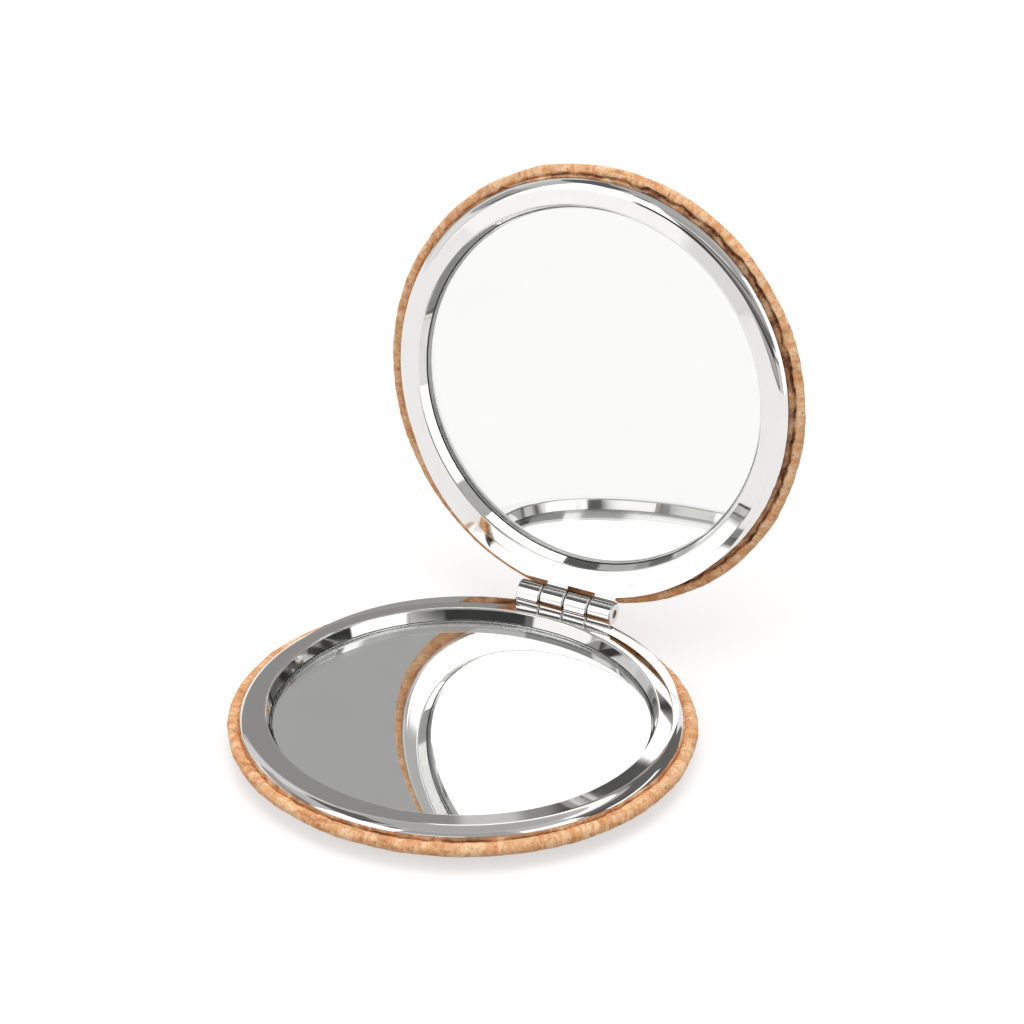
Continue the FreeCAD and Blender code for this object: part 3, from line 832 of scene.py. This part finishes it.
def apron_surface():
    """The flat crescent that carries the knuckles: a rectangle section carried round the hinge's side.

    Its outer edge is the land's circle moved towards the hinge, cut straight in front of the barrels.
    """
    turn = np.linspace(0, math.pi, APRON_STEPS)
    circle = APRON_SHIFT * np.sin(turn) + np.sqrt(LAND_EDGE**2 - (APRON_SHIFT * np.cos(turn))**2)
    straight = APRON_EDGE_Y / np.maximum(np.sin(turn), APRON_EDGE_Y / circle.max() / 2)
    outer = np.minimum(circle, straight)
    inner = np.full(APRON_STEPS, (OPENING_RADIUS + LAND_EDGE) / 2)
    radius = np.stack([inner, outer, outer, inner], axis=1)
    height = np.broadcast_to([APRON_TOP, APRON_TOP, LAND_UNDER, LAND_UNDER], radius.shape)
    return np.stack([radius * np.cos(turn)[:, None], radius * np.sin(turn)[:, None], height], axis=2)


def barrel_surface(start):
    """A knuckle's barrel: a bored tube with rounded rims, its section turned round the hinge's axis."""
    end = start + KNUCKLE_LENGTH
    inner_r = BARREL_RADIUS - KNUCKLE_ROUND
    section = joined(
        sweep(end - KNUCKLE_ROUND, inner_r, KNUCKLE_ROUND, math.pi / 2, 0, 12),
        (end, PIN_RADIUS),
        (start, PIN_RADIUS),
        sweep(start + KNUCKLE_ROUND, inner_r, KNUCKLE_ROUND, math.pi, math.pi / 2, 12),
    )
    section = np.concatenate([section, between(section[-1], section[0])])
    angle = np.linspace(0, 2 * math.pi, BARREL_COLUMNS, endpoint=False)
    along = np.broadcast_to(section[:, :1], (len(section), BARREL_COLUMNS))
    return np.stack([
        along,
        HINGE_Y + section[:, 1:] * np.cos(angle),
        AXIS_Z + section[:, 1:] * np.sin(angle),
    ], axis=2)


def tab_surface(start):
    """A knuckle's tab with its hollow foot: a section across the hinge, drawn out along it.

    The foot is an arc tangent to the barrel and to the tab's top. Inside the barrel the section keeps clear
    of the bore.
    """
    top = APRON_TOP + TAB_PROUD
    rise = top + KNUCKLE_FOOT - AXIS_Z
    reach = math.sqrt((BARREL_RADIUS + KNUCKLE_FOOT)**2 - rise**2)
    toward_barrel = math.atan2(-rise, reach)
    root = math.sqrt(LAND_EDGE**2 - (HINGE_LENGTH / 2)**2)
    inside = (BARREL_RADIUS + PIN_RADIUS) / 2
    section = joined(
        sweep(HINGE_Y - reach, AXIS_Z + rise, KNUCKLE_FOOT, toward_barrel, -math.pi / 2, 20),
        (root, top),
        (root, TAB_BOTTOM),
        (HINGE_Y, TAB_BOTTOM),
        sweep(HINGE_Y, AXIS_Z, inside, -math.pi / 2, -math.pi, 6),
    )
    along = start + np.array([KNUCKLE_ROUND, KNUCKLE_LENGTH - KNUCKLE_ROUND])
    across = np.broadcast_to(section, (2, *section.shape))
    return np.concatenate([np.broadcast_to(along[:, None, None], (2, len(section), 1)), across], axis=2)


SHARP_ANGLE = math.radians(30.0)


def casting_mesh(half):
    """A whole casting: dish, apron and every second knuckle, counted from one end."""
    grids = [pole_grid(place_half(half, dish_surface())), capped_grid(place_half(half, apron_surface()))]
    for index in (0, 2):
        start = index * KNUCKLE_PITCH - HINGE_LENGTH / 2
        grids.append(ring_grid(place_half(half, barrel_surface(start))))
        grids.append(capped_grid(place_half(half, tab_surface(start))))
    mesh = grid_mesh(half + "_casting", *grids)
    mesh.set_sharp_from_angle(angle=SHARP_ANGLE)
    return mesh


class COMPACT_OT_frames(bpy.types.Operator):
    """Plate both castings"""
    bl_idname = "compact.frames"
    bl_label = "Plated frames"

    def execute(self, context):
        chrome = chrome_material(context.scene.compact_metal)
        for half in HALVES:
            new_piece(half + "_casting", casting_mesh(half), chrome, half, "plated_zinc", half + "_frame")
        return {"FINISHED"}


class COMPACT_OT_hinge_pin(bpy.types.Operator):
    """Finish the hinge's pin"""
    bl_idname = "compact.hinge_pin"
    bl_label = "Hinge pin"

    def execute(self, context):
        finish_nodes(steel_pin_material(context.scene.compact_metal), "hinge_pin")
        return {"FINISHED"}


class COMPACT_OT_inner_layers(bpy.types.Operator):
    """Finish what lies between cork and mirror: plates, padding, tapes and magnets"""
    bl_idname = "compact.inner_layers"
    bl_label = "Inner layers"

    def execute(self, context):
        metal = context.scene.compact_metal
        plate = steel_sheet_material(metal)
        magnet = magnet_material(metal)
        padding = foam_material("Polyethylene foam, sliced", metal.padding, PADDING_CELL)
        tape = foam_material("Acrylic foam tape, die cut", metal.tape, TAPE_CELL)
        for half in HALVES:
            finish_nodes(plate, half + "_cover_plate")
            finish_nodes(magnet, half + "_magnet")
            finish_nodes(padding, half + "_cover_foam")
            finish_nodes(tape, half + "_mirror_tape", half + "_cover_tape")
        return {"FINISHED"}


SENSOR_WIDTH = 36.0
CLIP_START = 10 * MM

FLOOR_REACH = 1.5
FLOOR_DROP = 0.05 * MM
FLOOR_COLOUR = "#B4B4B4"
FLOOR_GLOW = 0.59

# A soft round lamp overhead. It stays out of the chrome, which shows the grey ceiling there instead.
LAMP_HEIGHT = 4.0
LAMP_SIZE = 3.6
LAMP_POWER = 86.0

# The studio round the case: each patch's azimuth, elevation, half width and half height in degrees, and its
# brightness. Later ones stand in front of earlier ones. The room between them has one level.
ROOM_LEVEL = 0.6
PANEL_EDGE = math.radians(2.0)
PANELS = {
    "rear wall": (117, 28, 45, 32, 0.33),
    "rear wall, middle": (117, 28, 9, 8, 0.4),
    "rear wall, dark edge": (103, 48, 6, 4, 0.1),
    "rear wall, lit edge": (115, 50, 3, 3, 0.7),
    "rear wall, lit end": (177, 30, 12, 30, 0.8),
    "left wall": (-162, 25, 18, 8, 0.42),
    "left wall, low": (-162, 7, 18, 10, 0.95),
    "left wall, corner": (-149, 22, 6, 5, 0.2),
    "left softbox": (-118, 33, 22, 19, 1.8),
    "left softbox, low": (-118, 3, 22, 11, 1.2),
    "camera side": (-65, 38, 32, 24, 0.45),
    "camera side, low": (-68, 7, 35, 13, 0.18),
    "table edge": (-78, 3, 22, 3.5, 0.5),
    "table front": (-97, 1.5, 7, 4, 0.9),
    "stand": (-100, 16, 9, 6, 0.06),
    "table's shadow": (-65, 9, 33, 1.8, 0.05),
    "right card": (-42, 3, 10, 6, 0.75),
    "reflector": (-36, 12, 10, 1.5, 1.1),
    "shelf": (-72, 31, 23, 2, 0.07),
    "window": (-79, 39, 19, 1.3, 1.2),
    "right softbox": (-13, 20, 17, 26, 1.6),
    "dark drape": (47, 22, 42, 26, 0.15),
    "drape rail": (18, 31.5, 19, 2, 0.06),
    "light strip, low": (12, 16.5, 17, 2, 1.3),
    "light strip": (35, 24.5, 20, 3, 1.4),
    "light strip, high": (68, 56, 55, 3.5, 1.6),
    "drape's foot": (12, 2, 8, 2.5, 0.04),
    "ceiling": (0, 80, 200, 15, 0.5),
    "lamp arm": (-152, 59, 28, 9, 0.14),
    "lamp head": (-108, 56, 5, 4, 0.12),
    "gap beside the drape": (87, 10, 8, 10, 1.0),
    "gap in the drape": (36, 8, 5, 6, 0.8),
}


def studio_world():
    """White behind the case. All other rays meet a grey room with soft-edged patches of light and dark."""
    world = bpy.data.worlds.new("Studio")
    world.use_nodes = True
    tree = world.node_tree
    tree.nodes.clear()
    direction = add(tree, "ShaderNodeTexCoord").outputs["Generated"]
    part = add(tree, "ShaderNodeSeparateXYZ", {0: direction}).outputs
    azimuth = add(tree, "ShaderNodeMath", {0: part["Y"], 1: part["X"]}, operation="ARCTAN2").outputs[0]
    elevation = add(tree, "ShaderNodeMath", {0: part["Z"]}, operation="ARCSINE").outputs[0]
    level = ROOM_LEVEL
    for name, (turn, height, half_width, half_height, brightness) in PANELS.items():
        turned = add(tree, "ShaderNodeMath", {0: azimuth, 1: math.radians(turn)}, operation="SUBTRACT")
        wrapped = add(tree, "ShaderNodeMath", {
            0: turned.outputs[0], 1: math.pi, 2: -math.pi}, operation="WRAP")
        raised = add(tree, "ShaderNodeMath", {0: elevation, 1: math.radians(height)}, operation="SUBTRACT")
        share = 1.0
        for offset, half in ((wrapped, half_width), (raised, half_height)):
            distance = add(tree, "ShaderNodeMath", {0: offset.outputs[0]}, operation="ABSOLUTE")
            inside = add(tree, "ShaderNodeMapRange", {
                "Value": distance.outputs[0], "From Min": math.radians(half) - PANEL_EDGE / 2,
                "From Max": math.radians(half) + PANEL_EDGE / 2, "To Min": 1.0, "To Max": 0.0},
                interpolation_type="SMOOTHSTEP")
            share = add(tree, "ShaderNodeMath", {
                0: inside.outputs["Result"], 1: share}, operation="MULTIPLY").outputs[0]
        level = add(tree, "ShaderNodeMix", {0: share, 2: level, 3: brightness}, label=name).outputs[0]
    path = add(tree, "ShaderNodeLightPath")
    strength = add(tree, "ShaderNodeMix", {0: path.outputs["Is Camera Ray"], 2: level, 3: 1.0})
    light = add(tree, "ShaderNodeBackground", {"Color": (1, 1, 1, 1), "Strength": strength.outputs[0]})
    add(tree, "ShaderNodeOutputWorld", {"Surface": light.outputs[0]})
    bpy.context.scene.world = world


def floor_material():
    """Pale paper sweep: white where nothing stands, and it keeps the shadow."""
    material, tree, shader, _ = new_material("Paper sweep, matt")
    path = add(tree, "ShaderNodeLightPath")
    seen = add(tree, "ShaderNodeMath", {
        0: path.outputs["Is Glossy Ray"], 1: path.outputs["Is Transmission Ray"]}, operation="MAXIMUM")
    shown = add(tree, "ShaderNodeMath", {
        0: seen.outputs[0], 1: path.outputs["Is Camera Ray"]}, operation="MAXIMUM")
    glow = add(tree, "ShaderNodeMath", {0: shown.outputs[0], 1: FLOOR_GLOW}, operation="MULTIPLY")
    plug(shader, {
        "Base Color": rgba(linear(FLOOR_COLOUR)), "Roughness": 1.0, "Specular IOR Level": 0.0,
        "Emission Color": (1, 1, 1, 1), "Emission Strength": glow.outputs[0]})
    return material


def camera_place(stage):
    """The camera's matrix: turned to the azimuth and elevation, rolled, then slid in its picture plane."""
    az, el = stage.azimuth, stage.elevation
    back = Vector((math.sin(az) * math.cos(el), -math.cos(az) * math.cos(el), math.sin(el)))
    level = Vector((math.cos(az), math.sin(az), 0))
    upright = back.cross(level)
    right = level * math.cos(stage.roll) + upright * math.sin(stage.roll)
    up = upright * math.cos(stage.roll) - level * math.sin(stage.roll)
    place = Vector((0, 0, LAND_Z)) + back * stage.distance + right * stage.slide[0] + up * stage.slide[1]
    matrix = Matrix((right, up, back)).transposed().to_4x4()
    matrix.translation = place
    return matrix


class COMPACT_OT_stage(bpy.types.Operator):
    """Add the floor, the studio light and the camera"""
    bl_idname = "compact.stage"
    bl_label = "Stage"

    def execute(self, context):
        scene = context.scene
        square = ((-1, -1), (1, -1), (1, 1), (-1, 1))
        corners = [(x * FLOOR_REACH, y * FLOOR_REACH, -FLOOR_DROP) for x, y in square]
        mesh = bpy.data.meshes.new("floor")
        mesh.from_pydata(corners, [], [(0, 1, 2, 3)])
        mesh.materials.append(floor_material())
        floor = bpy.data.objects.new("floor", mesh)
        scene.collection.objects.link(floor)
        studio_world()
        lamp = bpy.data.objects.new("overhead_lamp", bpy.data.lights.new("overhead_lamp", "AREA"))
        lamp.data.shape = "DISK"
        lamp.data.size = LAMP_SIZE
        lamp.data.energy = LAMP_POWER
        lamp.location = (0, 0, LAMP_HEIGHT)
        lamp.visible_glossy = False
        scene.collection.objects.link(lamp)
        camera = bpy.data.objects.new("camera", bpy.data.cameras.new("camera"))
        camera.data.lens = scene.compact_stage.focal
        camera.data.sensor_width = SENSOR_WIDTH
        camera.data.clip_start = CLIP_START
        camera.matrix_world = camera_place(scene.compact_stage)
        scene.collection.objects.link(camera)
        scene.camera = camera
        scene.view_settings.view_transform = "Standard"
        return {"FINISHED"}


STEPS = (
    COMPACT_OT_cork_skins, COMPACT_OT_mirrors, COMPACT_OT_frames,
    COMPACT_OT_hinge_pin, COMPACT_OT_inner_layers, COMPACT_OT_stage)


class COMPACT_PT_sidebar(bpy.types.Panel):
    """Lists the pieces of the compact mirror"""
    bl_idname = "COMPACT_PT_sidebar"
    bl_label = "Compact mirror"
    bl_space_type = "VIEW_3D"
    bl_region_type = "UI"
    bl_category = "Compact mirror"

    def draw(self, context):
        for step in STEPS:
            self.layout.operator(step.bl_idname)


GROUPS = {"compact_cork": CorkSettings, "compact_metal": MetalSettings, "compact_stage": StageSettings}


def register():
    for item in (*GROUPS.values(), *STEPS, COMPACT_PT_sidebar):
        bpy.utils.register_class(item)
    for name, group in GROUPS.items():
        setattr(bpy.types.Scene, name, bpy.props.PointerProperty(type=group))


def unregister():
    for name in GROUPS:
        delattr(bpy.types.Scene, name)
    for item in (COMPACT_PT_sidebar, *reversed(STEPS), *GROUPS.values()):
        bpy.utils.unregister_class(item)


def main():
    register()
    for step in STEPS:
        group, name = step.bl_idname.split(".")
        getattr(getattr(bpy.ops, group), name)()


if __name__ == "__main__":
    main()
